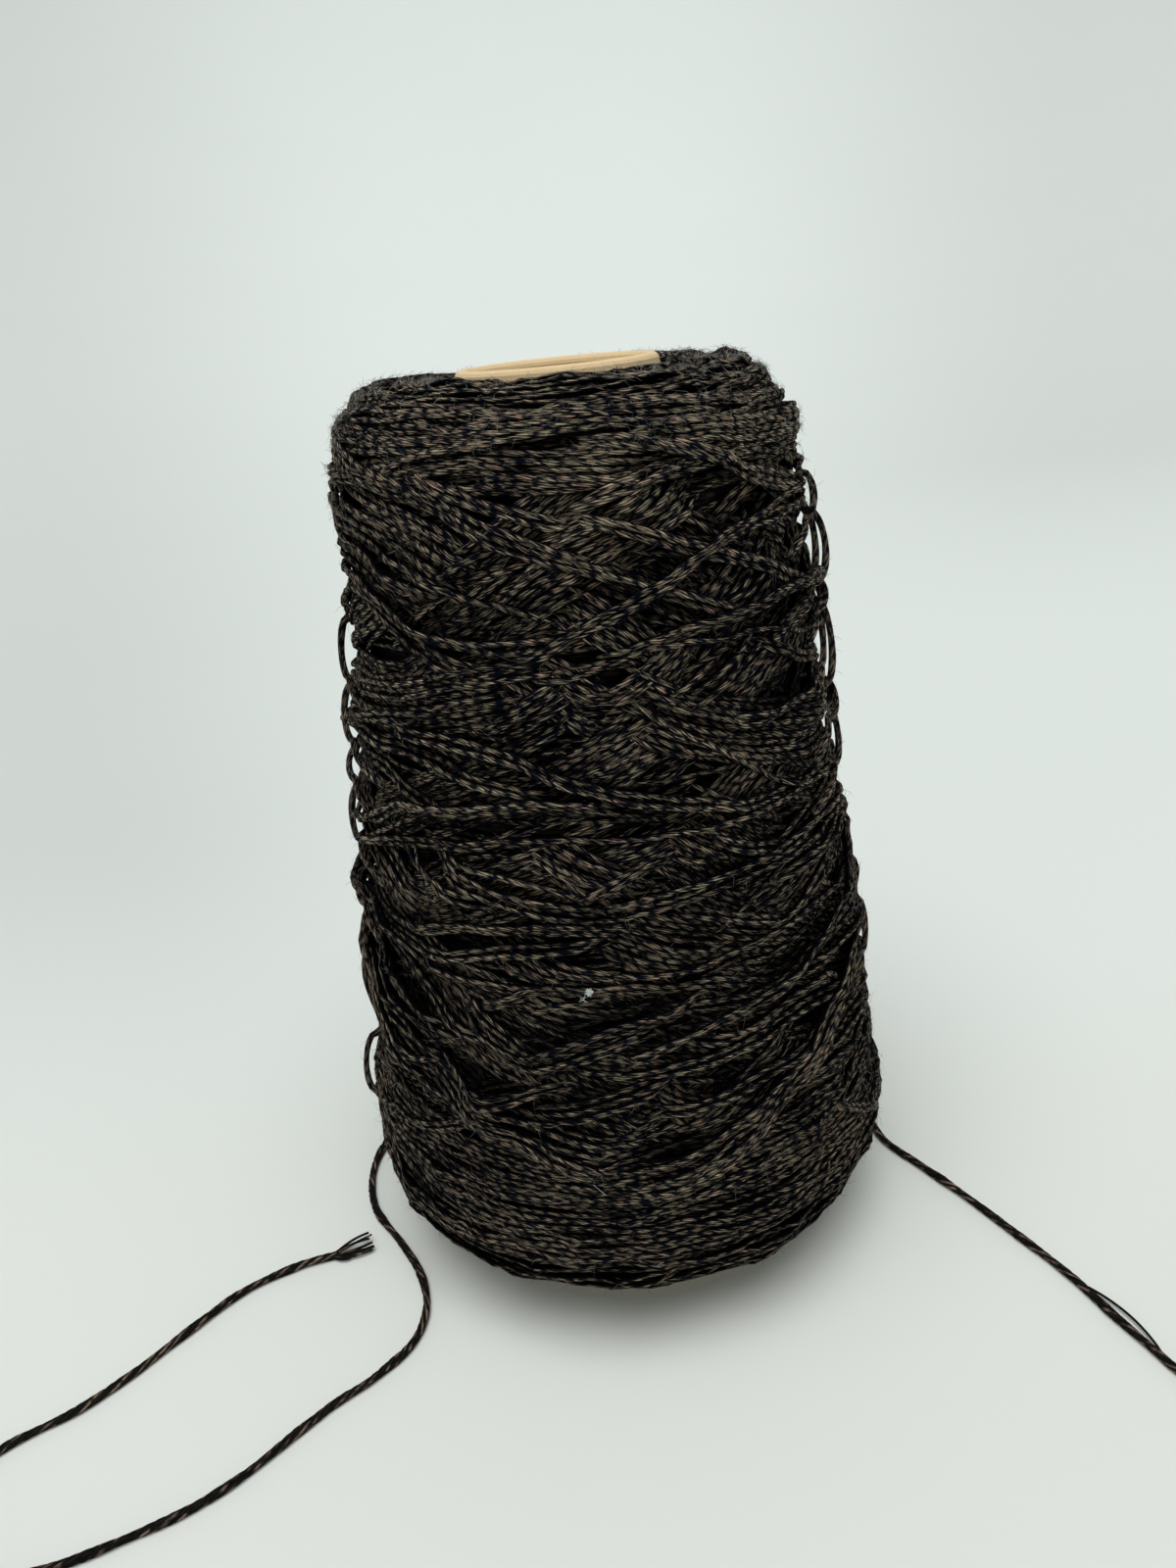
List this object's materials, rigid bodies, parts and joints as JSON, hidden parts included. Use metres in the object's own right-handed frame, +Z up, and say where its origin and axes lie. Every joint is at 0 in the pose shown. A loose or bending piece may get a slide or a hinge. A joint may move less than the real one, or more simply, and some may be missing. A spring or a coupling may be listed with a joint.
{
  "type": "cone of yarn",
  "caption": "Tapered pasteboard cone wound with marled dark brown and navy yarn in crossing bundles, with loose ends lying on the surface beside it.",
  "frame": {"origin": "centre of the cone's base ring on the surface that it stands on", "axes": "+Z up along the cone's axis from the wide base to the narrow nose; the loose ends run out towards -Y, which is the front"},
  "size_m": [0.236, 0.1387, 0.17],
  "materials": {
    "pasteboard": "matt",
    "marled_yarn": "matt",
    "left_end_yarn": "matt",
    "right_end_yarn": "matt"
  },
  "bodies": {
    "root": {"paper_cone": "pasteboard", "wound_yarn": "marled_yarn", "loose_end_left": "left_end_yarn", "loose_end_right": "right_end_yarn"}
  },
  "joints": []
}
